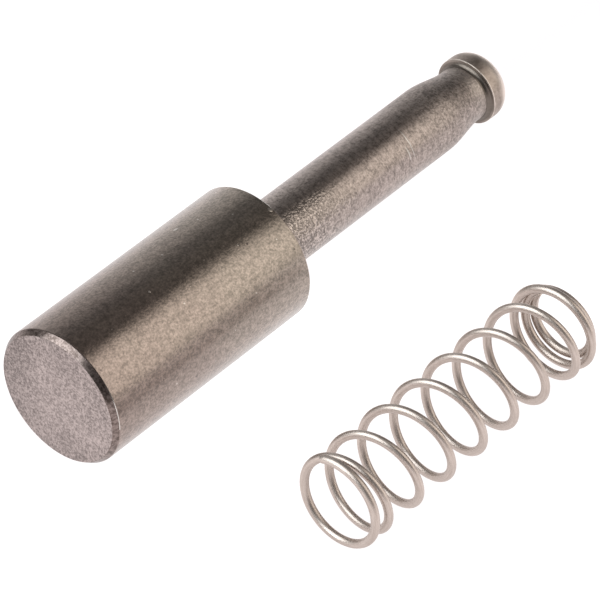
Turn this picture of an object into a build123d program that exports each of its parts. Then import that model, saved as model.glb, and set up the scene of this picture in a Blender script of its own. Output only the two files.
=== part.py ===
"""Push pin of a quick-release square drive, with its return spring lying beside it.

Millimetres. +Z is up and Z = 0 is the surface that both pieces lie on.
The pin's axis runs along X, from the button's flat face at the -X end to the domed nose at the +X end.
The origin is at the bottom centre of the box around the two pieces.
"""
from build123d import *
from math import cos, pi, radians, sin, sqrt
import os

os.makedirs("parts", exist_ok=True)

# Push button, measured along the pin's axis from its flat face
button_diameter = 9.5
button_length = 18.25
face_bevel_length = 0.40
face_bevel_depth = 0.28
shoulder_edge_round = 0.08

# Shank, tapering to the neck that lets the locking ball sink in
shank_diameter = 4.76
shank_length = 18.0
taper_length = 2.35
neck_depth = 0.43
neck_length = 1.15
taper_blend_radius = 6.0
underside_flat = 0.05

# Head beyond the neck, as thick as the shank, with a domed nose
head_length = 1.55
rim_edge_round = 0.05
nose_crown_height = 0.42
nose_round_radius = 1.1

# Return spring: a right-hand coil of round wire, closed at both ends and not ground
wire_diameter = 0.58
shank_clearance = 0.21
neck_clearance = 0.135
active_pitch = 3.07
total_turns = 9.9
closed_gap = 0.02
cut_end_spread = 0.22
spread_turns = 0.3
flat_turns = 0.42
closing_turns = 1.02
closed_turns = 1.5
narrowing_turns = 0.75
narrow_turns = 0.76
cut_end_angle = 66.0
points_per_turn = 12

# Where the spring lies: clear of the button, and set back from the plane of the button's face
spring_gap = 9.95
spring_setback = 4.93

# Radii and places that follow from the sizes above
button_radius = button_diameter / 2
shank_radius = shank_diameter / 2
neck_radius = shank_radius - neck_depth
neck_fillet_radius = neck_depth - underside_flat - rim_edge_round
wire_radius = wire_diameter / 2
coil_radius = shank_radius + shank_clearance + wire_radius
narrow_coil_radius = neck_radius + neck_clearance + wire_radius
spring_radius = coil_radius + wire_radius

shoulder_x = button_length
taper_start_x = shoulder_x + shank_length
taper_end_x = taper_start_x + taper_length
underside_x = taper_end_x + neck_length
nose_x = underside_x + head_length
pin_length = nose_x + nose_crown_height
crown_radius = (shank_radius**2 + nose_crown_height**2) / (2 * nose_crown_height)

set_width = button_diameter + spring_gap + 2 * spring_radius
face_centre = Vector(-pin_length / 2, set_width / 2 - button_radius, button_radius)
spring_start = Vector(face_centre.X + spring_setback + wire_radius, -set_width / 2 + spring_radius, spring_radius)

# Pin: one turned piece, revolved from its half section
with BuildPart() as release_pin:
    with BuildSketch(Plane(origin=face_centre, x_dir=(1, 0, 0), z_dir=(0, -1, 0))) as half_section:
        with BuildLine():
            Polyline(
                (pin_length, 0),
                (0, 0),
                (0, button_radius - face_bevel_depth),
                (face_bevel_length, button_radius),
                (shoulder_x, button_radius),
                (shoulder_x, shank_radius),
                (taper_start_x, shank_radius),
                (taper_end_x, neck_radius),
                (underside_x, neck_radius),
                (underside_x, shank_radius),
                (nose_x, shank_radius),
            )
            RadiusArc((nose_x, shank_radius), (pin_length, 0), crown_radius)
        make_face()
        for x, radius, rounding in (
            (shoulder_x, button_radius, shoulder_edge_round),
            (taper_start_x, shank_radius, taper_blend_radius),
            (taper_end_x, neck_radius, taper_blend_radius),
            (underside_x, neck_radius, neck_fillet_radius),
            (underside_x, shank_radius, rim_edge_round),
            (nose_x, shank_radius, nose_round_radius),
        ):
            corner = half_section.vertices().sort_by_distance((x, radius))[0]
            fillet(corner, radius=rounding)
    revolve(axis=Axis(face_centre, (1, 0, 0)))

# Spring: the near end is flat at first, and its pitch then opens along a parabola, over as many turns
# as let the wire clear its own cut end one turn on, where that end stands out from the coil by its spread
closed_pitch = wire_diameter + closed_gap
first_turn_rise = sqrt(closed_pitch**2 - cut_end_spread**2)
rising_turns = 1 - flat_turns
rise_share = first_turn_rise / (active_pitch * rising_turns)
opening_turns = 2 * rising_turns / 3 / (1 - sqrt(1 - 4 * rise_share / 3))
closing_start = total_turns - closed_turns - closing_turns
narrowing_start = total_turns - narrow_turns - narrowing_turns


def share(turn, start, span):
    """How far a turn count has come through a stretch of the coil, from 0 to 1."""
    return min(max((turn - start) / span, 0), 1)


def eased(turn, start, span):
    """The same share, quick at first and slowing towards the end of the stretch."""
    return 1 - (1 - share(turn, start, span)) ** 2


def pitch_at(turn):
    """Rise along the axis in millimetres a turn: flat, opening, full, closing and closed."""
    opening = active_pitch * eased(turn, flat_turns, opening_turns)
    return opening + (closed_pitch - active_pitch) * eased(turn, closing_start, closing_turns)


def wire_centre(turn, rise):
    """Centre of the wire at a turn count from the near cut end."""
    angle = radians(cut_end_angle + 360 * turn)
    spread = cut_end_spread * (1 - share(turn, 0, spread_turns))
    narrowing = share(turn, narrowing_start, narrowing_turns)
    radius = coil_radius + spread + (narrow_coil_radius - coil_radius) * narrowing
    return spring_start + Vector(rise, radius * cos(angle), radius * sin(angle))


step_count = round(total_turns * points_per_turn)
turn_step = total_turns / step_count
rise = 0
coil_points = [wire_centre(0, rise)]
for step in range(step_count):
    rise += turn_step * (pitch_at(step * turn_step) + pitch_at((step + 1) * turn_step)) / 2
    coil_points.append(wire_centre((step + 1) * turn_step, rise))

with BuildPart() as return_spring:
    with BuildLine() as coil:
        Spline(*coil_points)
    with BuildSketch(Plane(origin=coil.line @ 0, z_dir=coil.line % 0)):
        Circle(wire_radius)
    sweep(is_frenet=True)

release_pin.part.label = "release_pin"
export_step(release_pin.part, "parts/release_pin.step")

return_spring.part.label = "return_spring"
export_step(return_spring.part, "parts/return_spring.step")

wire_length = coil.wire().length
print(f"pin {pin_length:.2f} long, {release_pin.part.volume:.1f} mm3, valid {release_pin.part.is_valid}")
print(f"spring {rise + wire_diameter:.2f} long, wire {wire_length:.1f}, valid {return_spring.part.is_valid}")
print(f"spring {return_spring.part.volume:.3f} mm3, section times length {pi * wire_radius**2 * wire_length:.3f}")
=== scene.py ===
"""Looks of a quick-release push pin and its return spring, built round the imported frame.

The pin is turned from one half section and the spring is wound step by step, each in the place
of its solid. Sizes are written in millimetres; everything that Blender holds is in metres.
Angles are written in degrees: round the studio from +X towards +Y and up from the floor, or
round the axis of a piece from +Y towards +Z.
"""

from math import asin, atan2, cos, hypot, pi, radians, sin, sqrt, tan

import bmesh
import bpy
from mathutils import Matrix, Vector


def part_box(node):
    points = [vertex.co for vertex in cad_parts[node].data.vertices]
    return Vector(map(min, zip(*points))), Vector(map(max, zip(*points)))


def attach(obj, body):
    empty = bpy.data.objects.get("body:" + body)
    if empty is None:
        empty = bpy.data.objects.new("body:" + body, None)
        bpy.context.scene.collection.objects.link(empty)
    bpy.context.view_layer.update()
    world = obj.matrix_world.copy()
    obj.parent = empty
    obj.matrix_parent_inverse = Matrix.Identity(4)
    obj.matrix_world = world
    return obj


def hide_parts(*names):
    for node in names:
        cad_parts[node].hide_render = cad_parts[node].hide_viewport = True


MM = 0.001

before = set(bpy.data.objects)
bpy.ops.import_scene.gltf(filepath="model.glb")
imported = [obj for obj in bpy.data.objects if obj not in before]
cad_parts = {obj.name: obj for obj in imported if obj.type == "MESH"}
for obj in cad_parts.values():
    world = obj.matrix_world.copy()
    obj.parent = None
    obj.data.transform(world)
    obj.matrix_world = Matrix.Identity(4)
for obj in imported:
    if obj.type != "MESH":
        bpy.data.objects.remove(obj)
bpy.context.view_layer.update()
pin_low, pin_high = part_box("release_pin")
spring_low, spring_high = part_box("return_spring")

# Pin: its lengths along the axis, and its radii
BUTTON_LENGTH = 18.25 * MM
FACE_BEVEL_LENGTH = 0.40 * MM
FACE_BEVEL_DEPTH = 0.28 * MM
SHANK_LENGTH = 18.0 * MM
TAPER_LENGTH = 2.35 * MM
NECK_LENGTH = 1.15 * MM
HEAD_LENGTH = 1.55 * MM
SHANK_RADIUS = 2.38 * MM
NECK_RADIUS = 1.95 * MM
NOSE_ROUND_RADIUS = 1.1 * MM

# Pin: how far the rounding of each corner reaches along the corner's two sides
FACE_EDGE_ROUND = 0.04 * MM
BEVEL_EDGE_ROUND = 0.055 * MM
SHOULDER_EDGE_ROUND = 0.08 * MM
SHOULDER_ROOT_ROUND = 0.05 * MM
TAPER_START_BLEND = 0.545 * MM
TAPER_END_BLEND = 0.54 * MM
NECK_FILLET = 0.33 * MM
RIM_EDGE_ROUND = 0.05 * MM

# Pin: how finely it is turned, and the sharpest angle that is still shaded as one curve
ROUND_SEGMENTS = 6
NOSE_SEGMENTS = 14
CROWN_SEGMENTS = 8
TURN_STEPS = 256
MERGE_DISTANCE = MM / 1000
SMOOTH_ANGLE = radians(35)

# Where the pin lies and how far its parts reach, from the frame
pin_start = Vector((pin_low.x, (pin_low.y + pin_high.y) / 2, (pin_low.z + pin_high.z) / 2))
pin_length = pin_high.x - pin_low.x
button_radius = (pin_high.z - pin_low.z) / 2
taper_start = BUTTON_LENGTH + SHANK_LENGTH
taper_end = taper_start + TAPER_LENGTH
head_start = taper_end + NECK_LENGTH
nose_start = head_start + HEAD_LENGTH
crown_height = pin_length - nose_start
crown_radius = (SHANK_RADIUS**2 + crown_height**2) / (2 * crown_height)

# Spring: the same law of pitch and radius as its solid's, in turns of the coil
WIRE_RADIUS = 0.29 * MM
COIL_RADIUS = 2.88 * MM
NARROW_COIL_RADIUS = 2.375 * MM
ACTIVE_PITCH = 3.07 * MM
CLOSED_GAP = 0.02 * MM
CUT_END_SPREAD = 0.22 * MM
TOTAL_TURNS = 9.9
SPREAD_TURNS = 0.3
FLAT_TURNS = 0.42
CLOSING_TURNS = 1.02
CLOSED_TURNS = 1.5
NARROWING_TURNS = 0.75
NARROW_TURNS = 0.76
CUT_END_ANGLE = radians(66)
STEPS_PER_TURN = 64
WIRE_SIDES = 20
CUT_EDGE_ROUND = 0.03 * MM
CUT_EDGE_SEGMENTS = 2

spring_start = Vector((
    spring_low.x + WIRE_RADIUS,
    (spring_low.y + spring_high.y) / 2,
    spring_low.z + COIL_RADIUS + WIRE_RADIUS,
))
closed_pitch = 2 * WIRE_RADIUS + CLOSED_GAP
first_turn_rise = sqrt(closed_pitch**2 - CUT_END_SPREAD**2)
rising_turns = 1 - FLAT_TURNS
rise_share = first_turn_rise / (ACTIVE_PITCH * rising_turns)
opening_turns = 2 * rising_turns / 3 / (1 - sqrt(1 - 4 * rise_share / 3))
closing_start = TOTAL_TURNS - CLOSED_TURNS - CLOSING_TURNS
narrowing_start = TOTAL_TURNS - NARROW_TURNS - NARROWING_TURNS

# Camera: the photograph's angle, distance and field of view
VIEW_AZIMUTH = -139.854
VIEW_ELEVATION = 40.42
VIEW_DISTANCE = 300.96 * MM
VIEW_TARGET = Vector((-4.234, 2.889, 4.75)) * MM
VIEW_SENSOR = 36.0
VIEW_LENS = 290.18
VIEW_NEAREST = 10 * MM
VIEW_FURTHEST = 10.0


class Value:
    """One output of a node. Arithmetic on it adds the Math nodes."""

    def __init__(self, graph, socket):
        self.graph = graph
        self.socket = socket

    def math(self, operation, *terms):
        settings = {"operation": operation}
        return self.graph.node("ShaderNodeMath", settings, dict(enumerate(terms)))

    def __add__(self, other):
        return self.math("ADD", self, other)

    def __radd__(self, other):
        return self.math("ADD", other, self)

    def __sub__(self, other):
        return self.math("SUBTRACT", self, other)

    def __rsub__(self, other):
        return self.math("SUBTRACT", other, self)

    def __mul__(self, other):
        return self.math("MULTIPLY", self, other)

    def __rmul__(self, other):
        return self.math("MULTIPLY", other, self)

    def __truediv__(self, other):
        return self.math("DIVIDE", self, other)

    def __pow__(self, other):
        return self.math("POWER", self, other)


class Graph:
    """The nodes of one material, or of the room around the part."""

    def __init__(self, owner, place):
        self.owner = owner
        owner.use_nodes = True
        self.tree = owner.node_tree
        self.tree.nodes.clear()
        self.place = self.node("ShaderNodeTexCoord", output=place)

    def node(self, kind, settings=None, inputs=None, output=0):
        """Adds a node, sets it up, feeds its sockets and returns one of its outputs."""
        node = self.tree.nodes.new(kind)
        for name, value in (settings or {}).items():
            setattr(node, name, value)
        for name, value in (inputs or {}).items():
            if isinstance(value, Value):
                self.tree.links.new(value.socket, node.inputs[name])
            else:
                node.inputs[name].default_value = value
        return Value(self, node.outputs[output]) if node.outputs else None

    def vector(self, operation, first, second=None, output="Vector"):
        """Vector Math on one place or on two."""
        terms = {0: first} if second is None else {0: first, 1: second}
        return self.node("ShaderNodeVectorMath", {"operation": operation}, terms, output)

    def part(self, axis):
        """One coordinate of the place on the surface."""
        return self.node("ShaderNodeSeparateXYZ", inputs={"Vector": self.place}, output=axis)

    def rise(self, value, low, high):
        """0 up to low, 1 from high on, and a smooth step between."""
        return self.node(
            "ShaderNodeMapRange",
            {"interpolation_type": "SMOOTHSTEP", "clamp": True},
            {"Value": value, "From Min": low, "From Max": high, "To Min": 0.0, "To Max": 1.0},
        )

    def blend(self, share, first, second):
        """A colour that goes from the first to the second as share goes from 0 to 1."""
        return self.node(
            "ShaderNodeMix",
            {"data_type": "RGBA", "blend_type": "MIX", "clamp_factor": True},
            {0: share, 6: first, 7: second},
            output=2,
        )


class Sheet(Graph):
    """A studio sheet's material, which works in metres from the sheet's middle."""

    def __init__(self, name):
        super().__init__(bpy.data.materials.new(name), "Object")

    def glow(self, colour, strength=1.0):
        """Finishes the material: a surface that gives off light by itself."""
        light = self.node("ShaderNodeEmission", inputs={"Color": colour, "Strength": strength})
        self.node("ShaderNodeOutputMaterial", inputs={"Surface": light})
        return self.owner


class Finish(Graph):
    """A metal's material, which works in millimetres from an origin on the piece."""

    def __init__(self, name, origin):
        super().__init__(bpy.data.materials.new(name), "Object")
        self.place = self.node(
            "ShaderNodeMapping",
            {"vector_type": "POINT"},
            {"Vector": self.place, "Location": -origin / MM, "Scale": (1 / MM,) * 3},
        )

    def shifted(self, place, offset):
        """The place moved by so many millimetres each way, so that two patterns differ."""
        return self.vector("ADD", place, (offset,) * 3) if offset else place

    def noise(self, scale, detail, roughness, stretch=None, offset=0.0, source=None):
        """Noise from 0 to 1, so many features a millimetre, drawn out where stretch is small."""
        place = source or self.place
        if stretch:
            place = self.vector("MULTIPLY", place, stretch)
        return self.node(
            "ShaderNodeTexNoise",
            {"noise_dimensions": "3D"},
            {
                "Vector": self.shifted(place, offset),
                "Scale": scale,
                "Detail": detail,
                "Roughness": roughness,
            },
        )

    def cells(self, scale, offset=0.0):
        """Distance from the nearest of a scatter of points, so many a millimetre."""
        return self.node(
            "ShaderNodeTexVoronoi",
            {"feature": "F1"},
            {"Vector": self.shifted(self.place, offset), "Scale": scale},
            output="Distance",
        )

    def along(self):
        """Distance along the pin from the button's face, in millimetres."""
        return self.part("X")

    def around(self):
        """Angle round the pin's axis, in degrees."""
        height = self.part("Z")
        return height.math("ARCTAN2", height, self.part("Y")) * (180 / pi)

    def marks(self, places):
        """1 on a few scratches and nicks with wavering edges, and 0 elsewhere."""
        waver = self.noise(0.8, detail=1.0, roughness=0.5)
        along = self.along() + waver * MARK_WAVER - MARK_WAVER / 2
        around = self.around()
        marks = 0
        for middle, angle, reach, spread in places:
            off = ((along - middle) / reach) ** 2 + ((around - angle) / spread) ** 2
            marks = (1 - self.rise(off, *MARK_EDGE)) + marks
        return marks

    def metal(self, colour, roughness, height, depth):
        """Finishes the material: bare metal with relief of that depth in millimetres."""
        normal = self.node(
            "ShaderNodeBump", inputs={"Strength": 1.0, "Distance": depth * MM, "Height": height},
        )
        shader = self.node(
            "ShaderNodeBsdfPrincipled",
            inputs={
                "Base Color": colour,
                "Metallic": 1.0,
                "Roughness": roughness,
                "Normal": normal,
            },
        )
        self.node("ShaderNodeOutputMaterial", inputs={"Surface": shader})
        return self.owner


# Colours of the finishes
FACE_PALE = (0.505, 0.427, 0.406, 1.0)
FACE_GREY = (0.188, 0.157, 0.149, 1.0)
BEVEL_PALE = (0.268, 0.213, 0.196, 1.0)
BEVEL_DARK = (0.105, 0.080, 0.071, 1.0)
SIDE_PALE = (0.36, 0.289, 0.257, 1.0)
SIDE_DARK = (0.168, 0.136, 0.121, 1.0)
OLIVE_PALE = (0.405, 0.342, 0.297, 1.0)
OLIVE_DARK = (0.18, 0.157, 0.134, 1.0)
SPECK_STEEL = (0.52, 0.47, 0.43, 1.0)
# Worn steel for the scratches, and a painted highlight on the button's edges
RUBBED_AND_HIGHLIGHT_STEEL = (0.92, 0.90, 0.85, 1.0)
PIT_STEEL = (0.10, 0.082, 0.074, 1.0)
SHANK_PALE = (0.475, 0.40, 0.366, 1.0)
SHANK_DARK = (0.135, 0.114, 0.103, 1.0)
PEBBLE_PALE = (0.575, 0.494, 0.45, 1.0)
PEBBLE_DARK = (0.098, 0.083, 0.075, 1.0)
HEAD_BROWN = (0.25, 0.208, 0.18, 1.0)
HEAD_PALE = (0.405, 0.337, 0.297, 1.0)
HEAD_WORN_AND_HIGHLIGHT = (0.78, 0.69, 0.625, 1.0)
HEAD_UNDERSIDE_SHADE = (0.085, 0.073, 0.062, 1.0)
WIRE_PALE = (0.592, 0.514, 0.467, 1.0)
WIRE_SHADE = (0.472, 0.4, 0.357, 1.0)

# Where a finish changes over the pin. Each pair is where the change starts and where it has
# ended, in millimetres along the pin or in degrees round it. The face's painted shade on its
# left side is in millimetres across, and its middle is in the square of millimetres out from the
# axis. The last three are in millimetres past the head's underside.
FACE_MIDDLE = (0.5, 9.0)
FACE_LEFT_SHADE = (1.5, 5.0)
OLIVE_COMES = (5.0, 22.0)
BUTTON_HALFWAY = (9.0, 10.0)
SHOULDER_HIGHLIGHT_ENDS = (104, 114)
BEVEL_HIGHLIGHT_STARTS = (135, 150)
NEAR_PEBBLES_END = (21.5, 27.0)
FAR_PEBBLES_START = (32.0, 35.0)
SHADED_TOP_STARTS = (40, 60)
SHADED_TOP_ENDS = (102, 120)
NECK_STARTS = (38.3, 38.8)
UNDERSIDE_ENDS = (-0.02, 0.03)
RIM_HIGHLIGHT_ENDS = (0.05, 0.10)
WEAR_STARTS = 0.65

# The deepest scratches and nicks: the middle in millimetres along the pin and degrees round
# it, then half of each reach. Their edges waver along the pin and fade over the last pair.
SHANK_MARKS = ((31.6, 136, 0.05, 32), (31.25, 152, 0.06, 14))
BUTTON_MARKS = (
    (12.72, 71, 0.22, 1.6),
    (18.05, 110, 0.13, 2.2),
    (14.3, 117, 0.07, 0.9),
    (7.2, 105, 0.06, 0.8),
)
MARK_WAVER = 0.3
MARK_EDGE = (0.2, 1.2)

# Specks and pits: how far each reaches from its point, as a share of the cells' size
SPECK_EDGE = (0.03, 0.085)
PIT_EDGE = (0.03, 0.08)


def face_steel():
    """The button's end face: blasted, matte, mottled by grain down to a tenth of a mm, and given
    painted shade towards its left side.
    """
    finish = Finish("button_face_steel", pin_start)
    grain = finish.noise(3.2, detail=3.0, roughness=0.9)
    fine = finish.noise(7.6, detail=1.0, roughness=0.5, offset=9.0)
    patches = finish.noise(0.7, detail=2.0, roughness=0.6, offset=2.0)
    across, up = finish.part("Y"), finish.part("Z")
    middle = 1 - finish.rise(across**2 + up**2, *FACE_MIDDLE)
    # Painted shade: the face is darker towards its left side, with a wavering edge.
    left = finish.rise(across + patches * 2.0, *FACE_LEFT_SHADE)
    tone = finish.rise(grain * 0.46 + fine * 0.38 + patches * 0.16, 0.355, 0.645)
    colour = finish.blend(tone + middle * 0.17 - left * 0.2, FACE_GREY, FACE_PALE)
    return finish.metal(colour, roughness=0.40 + grain * 0.16, height=fine, depth=0.02)


def bevel_steel():
    """The narrow turned bevel round the face: smoother, mirroring in light and dark arcs."""
    finish = Finish("face_bevel_steel", pin_start)
    grain = finish.noise(4.0, detail=3.0, roughness=0.8)
    colour = finish.blend(finish.rise(grain, 0.36, 0.64), BEVEL_DARK, BEVEL_PALE)
    return finish.metal(colour, roughness=0.25 + grain * 0.09, height=grain, depth=0.006)


def button_steel():
    """The button's side: satin and finely grained, olive towards the shoulder, with sparse
    specks, pits and nicks."""
    finish = Finish("button_side_steel", pin_start)
    grain = finish.noise(3.0, detail=3.0, roughness=0.85, stretch=(0.8, 1.0, 1.0))
    fine = finish.noise(7.0, detail=1.0, roughness=0.5, offset=5.0)
    patches = finish.noise(0.35, detail=2.0, roughness=0.5, offset=7.0)
    specks = 1 - finish.rise(finish.cells(0.9), *SPECK_EDGE)
    pits = 1 - finish.rise(finish.cells(0.8, offset=4.0), *PIT_EDGE)
    tone = finish.rise(grain * 0.6 + fine * 0.4, 0.31, 0.69)
    steel = finish.blend(tone, SIDE_DARK, SIDE_PALE)
    olive = finish.rise(patches * 10.0 + finish.along(), *OLIVE_COMES)
    steel = finish.blend(olive, steel, finish.blend(tone, OLIVE_DARK, OLIVE_PALE))
    marks = finish.marks(BUTTON_MARKS)
    colour = finish.blend(marks + specks, finish.blend(pits, steel, PIT_STEEL), SPECK_STEEL)
    height = fine * 0.5 + grain * 0.5 + specks * 0.6 + marks * 1.5
    return finish.metal(colour, roughness=0.19 + grain * 0.10, height=height, depth=0.012)


def worn_and_highlit_edge_steel():
    """The button's outer edges, worn and given a painted highlight: the shoulder's is painted
    bright but for its upper side towards the spring, and the bevel's only there, and less."""
    finish = Finish("edge_wear_and_highlight_steel", pin_start)
    wear = finish.noise(1.6, detail=3.0, roughness=0.6)
    around = finish.around()
    shoulder = finish.rise(finish.along(), *BUTTON_HALFWAY)
    # Painted highlight: bright edge lines set by the angle round the pin, broken up by wear.
    shoulder_highlight = (1 - finish.rise(around, *SHOULDER_HIGHLIGHT_ENDS)) * shoulder
    bevel_highlight = finish.rise(around, *BEVEL_HIGHLIGHT_STARTS) * (1 - shoulder) * 0.5
    plain = finish.blend(shoulder, BEVEL_PALE, SIDE_PALE)
    bright = (shoulder_highlight + bevel_highlight) * (0.6 + wear * 0.8)
    colour = finish.blend(bright, plain, RUBBED_AND_HIGHLIGHT_STEEL)
    return finish.metal(colour, roughness=0.18 + wear * 0.08, height=wear, depth=0.004)


def shank_steel():
    """The shank: pebbled near the shoulder, painted less so on top where it lies in shade, and
    again on the taper, and finely turned and scratched between."""
    finish = Finish("shank_steel", pin_start)
    along = finish.along()
    pebbles = finish.rise(finish.noise(6.6, detail=1.5, roughness=0.6), 0.38, 0.68)
    grain = finish.noise(3.4, detail=4.0, roughness=0.9, offset=6.0)
    lines = finish.noise(1.0, detail=3.0, roughness=0.6, stretch=(12.0, 1.4, 1.4))
    patches = finish.noise(0.55, detail=2.0, roughness=0.6, offset=3.0)
    edge = along + patches * 5.0 - 2.5
    around = finish.around()
    # The pebbles' contrast follows the light: it is painted fainter over the shank's top, which
    # lies in shade.
    smooth = finish.rise(around, *SHADED_TOP_STARTS) * (1 - finish.rise(around, *SHADED_TOP_ENDS))
    near = (1 - finish.rise(edge, *NEAR_PEBBLES_END)) * (1 - 0.6 * smooth)
    far = finish.rise(edge, *FAR_PEBBLES_START)
    turned = grain * 0.74 + lines * (0.26 - near * 0.26) + near * 0.13
    tone = finish.rise(turned, 0.32, 0.68)
    steel = finish.blend(tone, SHANK_DARK, SHANK_PALE)
    pebbled = finish.blend(tone * 0.35 + pebbles * 0.65, PEBBLE_DARK, PEBBLE_PALE)
    steel = finish.blend(near + far * 0.45, steel, pebbled)
    neck = finish.rise(along, *NECK_STARTS)
    steel = finish.blend(neck * 0.2, steel, SPECK_STEEL)
    marks = finish.marks(SHANK_MARKS)
    colour = finish.blend(marks * 0.32, steel, RUBBED_AND_HIGHLIGHT_STEEL)
    roughness = 0.25 + grain * 0.10 - near * 0.03 + far * 0.11
    height = pebbles * (near + far * 0.5) * 0.4 + grain * 0.2 + lines * 0.1 + marks * 0.25
    return finish.metal(colour, roughness, height, depth=0.04)


def head_steel():
    """The head: brown, with painted shade on its underside, a painted highlight in places on its
    rim, and worn pale all over towards its nose."""
    finish = Finish("head_steel", pin_start)
    along = finish.along()
    underside = head_start / MM
    grain = finish.noise(5.0, detail=3.0, roughness=0.8)
    patches = finish.noise(0.9, detail=2.0, roughness=0.5, offset=2.0)
    tone = finish.rise(patches * 0.4 + grain * 0.6, 0.36, 0.64)
    steel = finish.blend(tone, HEAD_BROWN, HEAD_PALE)
    shaded_underside = 1 - finish.rise(along, *(underside + place for place in UNDERSIDE_ENDS))
    worn = finish.rise(along + patches * 0.3, underside + WEAR_STARTS, nose_start / MM)
    # Painted highlight: a thin pale band in places round the rim, beside the underside.
    rim = (1 - shaded_underside) * (1 - finish.rise(along, *(underside + place for place in RIM_HIGHLIGHT_ENDS)))
    steel = finish.blend(worn + rim * (patches * 2.4 - 0.6), steel, HEAD_WORN_AND_HIGHLIGHT)
    # Painted shade: the head's underside is painted dark.
    colour = finish.blend(shaded_underside * 0.75, steel, HEAD_UNDERSIDE_SHADE)
    roughness = 0.38 + grain * 0.10 - shaded_underside * 0.08
    return finish.metal(colour, roughness, height=grain, depth=0.008)


def wire_steel():
    """Drawn spring wire: satin, with fine streaks that run along the wire."""
    finish = Finish("spring_wire_steel", spring_start)
    settings = {"attribute_type": "GEOMETRY", "attribute_name": "wire"}
    wire = finish.node("ShaderNodeAttribute", settings, output="Vector")
    streaks = finish.noise(1.0, detail=3.0, roughness=0.6, stretch=(9.0, 9.0, 0.5), source=wire)
    grain = finish.noise(3.0, detail=3.0, roughness=0.8)
    tone = finish.rise(streaks * 0.7 + grain * 0.3, 0.30, 0.70)
    colour = finish.blend(tone, WIRE_SHADE, WIRE_PALE)
    return finish.metal(colour, roughness=0.38 + streaks * 0.08, height=streaks, depth=0.0008)


def make_piece(name, bm, finishes, node):
    """Turns a finished bmesh into a piece that stands for a solid and rides on the part."""
    bmesh.ops.recalc_face_normals(bm, faces=bm.faces)
    for face in bm.faces:
        face.smooth = True
    mesh = bpy.data.meshes.new(name)
    bm.to_mesh(mesh)
    bm.free()
    mesh.set_sharp_from_angle(angle=SMOOTH_ANGLE)
    for finish in finishes:
        mesh.materials.append(finish)
    piece = bpy.data.objects.new(name, mesh)
    bpy.context.scene.collection.objects.link(piece)
    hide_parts(node)
    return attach(piece, "root")


def half_section(bm):
    """The pin's half section, from the middle of its face to the tip of its nose."""
    corners = (
        (0, 0, 0),
        (0, button_radius - FACE_BEVEL_DEPTH, FACE_EDGE_ROUND),
        (FACE_BEVEL_LENGTH, button_radius, BEVEL_EDGE_ROUND),
        (BUTTON_LENGTH, button_radius, SHOULDER_EDGE_ROUND),
        (BUTTON_LENGTH, SHANK_RADIUS, SHOULDER_ROOT_ROUND),
        (taper_start, SHANK_RADIUS, TAPER_START_BLEND),
        (taper_end, NECK_RADIUS, TAPER_END_BLEND),
        (head_start, NECK_RADIUS, NECK_FILLET),
        (head_start, SHANK_RADIUS, RIM_EDGE_ROUND),
    )
    round_height = SHANK_RADIUS - NOSE_ROUND_RADIUS
    reach = crown_radius - NOSE_ROUND_RADIUS
    crown_centre = pin_length - crown_radius
    round_centre = crown_centre + sqrt(reach**2 - round_height**2)
    crown_angle = asin(round_height / reach)

    drawn = [bm.verts.new(pin_start + Vector((along, 0, out))) for along, out, _ in corners]
    drawn.append(bm.verts.new(pin_start + Vector((round_centre, 0, SHANK_RADIUS))))
    for first, second in zip(drawn, drawn[1:]):
        bm.edges.new((first, second))
    rounded = pi / 2 - crown_angle
    turn_nose(bm, drawn[-1], (round_centre, round_height), rounded, NOSE_SEGMENTS)
    tip = max(bm.verts, key=lambda vert: vert.co.x)
    turn_nose(bm, tip, (crown_centre, 0), crown_angle, CROWN_SEGMENTS)
    for vert, (_, _, length) in zip(drawn, corners):
        if length:
            bmesh.ops.bevel(
                bm, geom=[vert], offset=length, offset_type="OFFSET", segments=ROUND_SEGMENTS,
                profile=0.5, affect="VERTICES", material=-1,
            )


def turn_nose(bm, vert, centre, angle, steps):
    """Carries the half section on from a vertex along an arc about a centre, to the nose."""
    along, out = centre
    bmesh.ops.spin(
        bm, geom=[vert], cent=pin_start + Vector((along, 0, out)), axis=(0, 1, 0),
        angle=angle, steps=steps,
    )


def pin_zone(face):
    """The name of the finish that a face of the pin takes."""
    centre = face.calc_center_median() - pin_start
    along, out = centre.x, hypot(centre.y, centre.z)
    if along < FACE_EDGE_ROUND / 4:
        return "face"
    if along < FACE_BEVEL_LENGTH - BEVEL_EDGE_ROUND / 2:
        return "bevel"
    if along < FACE_BEVEL_LENGTH + BEVEL_EDGE_ROUND / 2:
        return "edge"
    if along < BUTTON_LENGTH - SHOULDER_EDGE_ROUND:
        return "side"
    if out > button_radius - SHOULDER_EDGE_ROUND:
        return "edge"
    if out > SHANK_RADIUS + SHOULDER_ROOT_ROUND:
        return "side"
    return "shank" if along < head_start - NECK_FILLET else "head"


def turn_pin():
    """The pin, turned in one piece about its own axis."""
    bm = bmesh.new()
    half_section(bm)
    bmesh.ops.spin(
        bm, geom=bm.verts[:] + bm.edges[:], cent=pin_start, axis=(1, 0, 0), angle=2 * pi,
        steps=TURN_STEPS, use_merge=True,
    )
    bmesh.ops.remove_doubles(bm, verts=bm.verts, dist=MERGE_DISTANCE)
    finishes = {
        "face": face_steel(),
        "bevel": bevel_steel(),
        "side": button_steel(),
        "shank": shank_steel(),
        "head": head_steel(),
        "edge": worn_and_highlit_edge_steel(),
    }
    zones = list(finishes)
    for face in bm.faces:
        face.material_index = zones.index(pin_zone(face))
    return make_piece("push_pin", bm, finishes.values(), "release_pin")


def share(turn, start, span):
    """How far a turn count has come through a stretch of the coil, from 0 to 1."""
    return min(max((turn - start) / span, 0), 1)


def eased(turn, start, span):
    """The same share, quick at first and slowing towards the end of the stretch."""
    return 1 - (1 - share(turn, start, span)) ** 2


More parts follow.
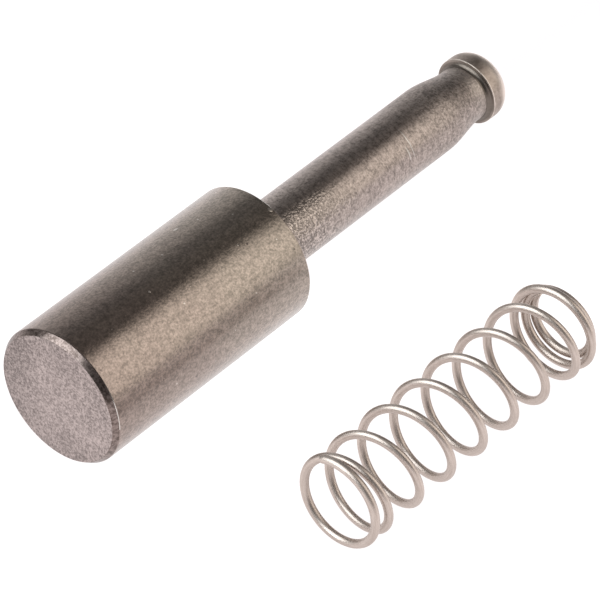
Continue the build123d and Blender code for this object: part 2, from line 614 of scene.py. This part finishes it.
def pitch_at(turn):
    """Rise along the axis a turn: flat, opening, full, closing and closed."""
    opening = ACTIVE_PITCH * eased(turn, FLAT_TURNS, opening_turns)
    return opening + (closed_pitch - ACTIVE_PITCH) * eased(turn, closing_start, CLOSING_TURNS)


def coil_radius_at(turn):
    """Radius of the wire's centre line: spread at the cut end, and narrow in the last coil."""
    spread = CUT_END_SPREAD * (1 - share(turn, 0, SPREAD_TURNS))
    narrowed = share(turn, narrowing_start, NARROWING_TURNS)
    return COIL_RADIUS + spread + (NARROW_COIL_RADIUS - COIL_RADIUS) * narrowed


def radial(angle):
    """Direction out from the coil's axis at an angle in radians."""
    return Vector((0, cos(angle), sin(angle)))


def wind_spring():
    """The spring, wound from one ring of vertices that goes round and along step by step.

    Each vertex keeps its place in the wire, in millimetres across and along it, for the streaks.
    """
    bm = bmesh.new()
    wire = bm.verts.layers.float_vector.new("wire")
    ring = bmesh.ops.create_circle(bm, segments=WIRE_SIDES, radius=WIRE_RADIUS)["verts"]
    for vert in ring:
        vert[wire] = vert.co / MM
    out = radial(CUT_END_ANGLE)
    axis = Vector((1, 0, 0))
    stand = Matrix((out, axis, out.cross(axis))).transposed().to_4x4()
    place = Matrix.Translation(spring_start + out * coil_radius_at(0))
    bmesh.ops.transform(bm, verts=ring, matrix=place @ stand)
    first_rim = bm.edges[:]

    steps = round(TOTAL_TURNS * STEPS_PER_TURN)
    turn_step = TOTAL_TURNS / steps
    geom = ring + first_rim
    length = 0.0
    lead = 0.0
    for step in range(steps):
        turn = (step + 1) * turn_step
        pitch = (pitch_at(turn - turn_step) + pitch_at(turn)) / 2
        made = bmesh.ops.spin(
            bm, geom=geom, cent=spring_start, axis=axis, dvec=axis * pitch * turn_step,
            angle=2 * pi * turn_step, steps=1,
        )
        geom = made["geom_last"]
        ring = [item for item in geom if isinstance(item, bmesh.types.BMVert)]
        out = radial(CUT_END_ANGLE + 2 * pi * turn)
        drawn_in = coil_radius_at(turn) - coil_radius_at(turn - turn_step)
        bmesh.ops.translate(bm, verts=ring, vec=out * drawn_in)
        new_lead = atan2(pitch_at(turn), 2 * pi * coil_radius_at(turn))
        centre = sum((vert.co for vert in ring), Vector()) / len(ring)
        tilt = Matrix.Rotation(lead - new_lead, 3, out)
        bmesh.ops.rotate(bm, verts=ring, cent=centre, matrix=tilt)
        lead = new_lead
        length += hypot(2 * pi * coil_radius_at(turn), pitch) * turn_step
        for vert in ring:
            vert[wire].z = length / MM
    last_rim = [item for item in geom if isinstance(item, bmesh.types.BMEdge)]
    for rim in (first_rim, last_rim):
        bmesh.ops.contextual_create(bm, geom=rim)
    bmesh.ops.bevel(
        bm, geom=first_rim + last_rim, offset=CUT_EDGE_ROUND, offset_type="OFFSET",
        segments=CUT_EDGE_SEGMENTS, profile=0.5, affect="EDGES", material=-1,
    )
    return make_piece("coil_spring", bm, [wire_steel()], "return_spring")


# Floor: half its width in metres, its colour and light, and what it loses behind the pin and
# in the pieces' shade. Each pair is where such a change starts and where it is over, in
# millimetres along X or across in Y. The pin's shade starts further in beside the slim shank.
FLOOR_HALF = 3.0
FLOOR_WHITE = (1.0, 0.965, 0.97, 1.0)
FLOOR_GLOW = 1.30
FLOOR_BEHIND_LOSS = 0.10
FLOOR_SHADE_LOSS = 0.22
BEHIND_ACROSS = (6.0, 17.0)
PIN_SHADE_ALONG = (-24.0, -19.0)
PIN_SHADE_NEAR = (3.2, 6.5)
PIN_SHADE_FAR = (11.0, 17.0)
SHANK_ALONG = (-5.0, 0.0)
SHANK_SET_IN = 1.6
SPRING_SHADE_START = (-26.0, -18.0)
SPRING_SHADE_END = (5.0, 12.0)
SPRING_SHADE_NEAR = (-17.0, -13.0)
SPRING_SHADE_FAR = (-7.0, -1.0)

# Wall: metres from the part, its size, and the angles over which it fades to each side and up
WALL_AZIMUTH = 52
WALL_DISTANCE = 1.6
WALL_HALF_WIDTH = 1.4
WALL_HEIGHT = 2.2
WALL_GLOW = (0.88, 0.88, 0.88, 1.0)
WALL_DIM = (0.19, 0.19, 0.19, 1.0)
WALL_LEFT_FADE = (-35, -20)
WALL_RIGHT_FADE = (6, 26)
WALL_TOP_FADE = 50

# Diffuser: metres from the part, and the angles from its middle over which it fades to its rim
# and over which the cover on the camera's side of it ends, less than 0 towards the camera
DIFFUSER_AZIMUTH = -64.5
DIFFUSER_ELEVATION = 31.5
DIFFUSER_DISTANCE = 1.2
DIFFUSER_FADE = (19, 44)
DIFFUSER_COVER = (-22, -6)
DIFFUSER_LIGHT = (1.79, 1.71, 1.575, 1.0)
DIFFUSER_RIM = (0.13, 0.12, 0.115, 1.0)

# Softbox: metres from the part, and the angle from its middle to its rim
SOFTBOX_AZIMUTH = 152
SOFTBOX_ELEVATION = 42
SOFTBOX_DISTANCE = 1.2
SOFTBOX_REACH = 30
SOFTBOX_LIGHT = 2.75
SOFTBOX_TINT = (1.0, 1.07, 1.10)

# Room: full from the first of these angles away from the front, and dim within the second
ROOM_BACK = (0.1995, 0.19, 0.1805, 1.0)
ROOM_FRONT = (0.12, 0.12, 0.12, 1.0)
ROOM_FRONT_AZIMUTH = 225
ROOM_FRONT_FADE = (100, 60)


def direction(azimuth, elevation=0):
    """Unit vector from an angle round from +X towards +Y, and an angle up from the floor."""
    turn, tilt = radians(azimuth), radians(elevation)
    return Vector((cos(turn) * cos(tilt), sin(turn) * cos(tilt), sin(tilt)))


def spans(angles, distance=1.0):
    """How far from the middle of a sheet at a distance the part sees each of some angles."""
    return [distance * tan(radians(angle)) for angle in angles]


def set_stage(name, half_width, half_height, stand, material):
    """A flat sheet of the studio, drawn on the floor about the origin and stood in its place."""
    bm = bmesh.new()
    bmesh.ops.create_grid(bm, x_segments=1, y_segments=1, size=1)
    bmesh.ops.scale(bm, verts=bm.verts, vec=(half_width, half_height, 1))
    mesh = bpy.data.meshes.new(name)
    bm.to_mesh(mesh)
    bm.free()
    mesh.materials.append(material)
    sheet = bpy.data.objects.new(name, mesh)
    sheet.matrix_world = stand
    bpy.context.scene.collection.objects.link(sheet)


def lay_floor():
    """A plain white floor that glows as a light table does, a little less where the pieces
    shade it."""
    sheet = Sheet("floor_white")
    along, across = sheet.part("X") / MM, sheet.part("Y") / MM
    edge = across - SHANK_SET_IN * sheet.rise(along, *SHANK_ALONG)
    pin_shade = sheet.rise(edge, *PIN_SHADE_NEAR) * (1 - sheet.rise(across, *PIN_SHADE_FAR))
    pin_shade = pin_shade * sheet.rise(along, *PIN_SHADE_ALONG)
    spring_shade = sheet.rise(across, *SPRING_SHADE_NEAR)
    spring_shade = spring_shade * (1 - sheet.rise(across, *SPRING_SHADE_FAR))
    spring_shade = spring_shade * sheet.rise(along, *SPRING_SHADE_START)
    spring_shade = spring_shade * (1 - sheet.rise(along, *SPRING_SHADE_END))
    glow = FLOOR_GLOW - FLOOR_BEHIND_LOSS * sheet.rise(across, *BEHIND_ACROSS)
    glow = glow - FLOOR_SHADE_LOSS * (pin_shade + spring_shade)
    set_stage("floor", FLOOR_HALF, FLOOR_HALF, Matrix(), sheet.glow(FLOOR_WHITE, glow))


def raise_wall():
    """A wall far behind the part that gives off pale light, brightest at its foot and fading up and
    to both sides.
    """
    sheet = Sheet("wall_fade")
    across, height = sheet.part("X"), sheet.part("Y")
    left = sheet.rise(across, *spans(WALL_LEFT_FADE, WALL_DISTANCE))
    right = 1 - sheet.rise(across, *spans(WALL_RIGHT_FADE, WALL_DISTANCE))
    foot = -WALL_HEIGHT / 2
    top = sheet.rise(height, foot, foot + WALL_DISTANCE * tan(radians(WALL_TOP_FADE)))
    fade = sheet.blend(left * right * (1 - top), WALL_DIM, WALL_GLOW)
    away = direction(WALL_AZIMUTH)
    turn = away.to_track_quat("-Z", "Y").to_matrix().to_4x4()
    stand = Matrix.Translation(away * WALL_DISTANCE + Vector((0, 0, WALL_HEIGHT / 2))) @ turn
    set_stage("back_wall", WALL_HALF_WIDTH, WALL_HEIGHT / 2, stand, sheet.glow(fade))


def hang_diffuser():
    """A large round diffuser, lit from behind, to the right of the part: brightest in its
    middle, soft-edged, and covered on the camera's side."""
    sheet = Sheet("diffuser_glow")
    out = sheet.vector("LENGTH", sheet.place, output="Value") / DIFFUSER_DISTANCE
    edge = sheet.rise(out, *spans(DIFFUSER_FADE))
    across = sheet.part("X") / DIFFUSER_DISTANCE
    covered = 1 - sheet.rise(across, *spans(DIFFUSER_COVER))
    fade = sheet.blend(edge + covered, DIFFUSER_LIGHT, DIFFUSER_RIM)
    toward = direction(DIFFUSER_AZIMUTH, DIFFUSER_ELEVATION)
    turn = toward.to_track_quat("Z", "Y").to_matrix().to_4x4()
    half = max(spans(DIFFUSER_FADE, DIFFUSER_DISTANCE))
    stand = Matrix.Translation(toward * DIFFUSER_DISTANCE) @ turn
    set_stage("right_diffuser", half, half, stand, sheet.glow(fade))


def hang_softbox():
    """A round softbox that faces the part, high on the left and a little in front."""
    light = bpy.data.lights.new("top_left_softbox", "AREA")
    light.shape = "DISK"
    light.size = 2 * SOFTBOX_DISTANCE * tan(radians(SOFTBOX_REACH))
    light.energy = SOFTBOX_LIGHT * pi * light.size**2
    light.color = SOFTBOX_TINT
    lamp = bpy.data.objects.new("top_left_softbox", light)
    toward = direction(SOFTBOX_AZIMUTH, SOFTBOX_ELEVATION)
    lamp.location = toward * SOFTBOX_DISTANCE
    lamp.rotation_euler = toward.to_track_quat("Z", "Y").to_euler()
    lamp.visible_camera = False
    bpy.context.scene.collection.objects.link(lamp)


def dim_room():
    """A dim room around it all, darker in front, so that the metal takes dark bands."""
    world = bpy.data.worlds.new("dim_room")
    room = Graph(world, "Generated")
    front = room.vector("DOT_PRODUCT", room.place, direction(ROOM_FRONT_AZIMUTH), output="Value")
    in_front = room.rise(front, *(cos(radians(angle)) for angle in ROOM_FRONT_FADE))
    tone = room.blend(in_front, ROOM_BACK, ROOM_FRONT)
    air = room.node("ShaderNodeBackground", inputs={"Color": tone})
    room.node("ShaderNodeOutputWorld", inputs={"Surface": air})
    bpy.context.scene.world = world
    bpy.context.scene.view_settings.view_transform = "Standard"


def place_camera():
    """The photograph's view: past the button's face, high and to the left, with a long lens."""
    back = direction(VIEW_AZIMUTH, VIEW_ELEVATION)
    lens = bpy.data.cameras.new("camera")
    lens.sensor_width = VIEW_SENSOR
    lens.lens = VIEW_LENS
    lens.clip_start = VIEW_NEAREST
    lens.clip_end = VIEW_FURTHEST
    camera = bpy.data.objects.new("camera", lens)
    camera.location = VIEW_TARGET + back * VIEW_DISTANCE
    camera.rotation_euler = back.to_track_quat("Z", "Y").to_euler()
    bpy.context.scene.collection.objects.link(camera)
    bpy.context.scene.camera = camera


turn_pin()
wind_spring()
lay_floor()
raise_wall()
hang_diffuser()
hang_softbox()
dim_room()
place_camera()
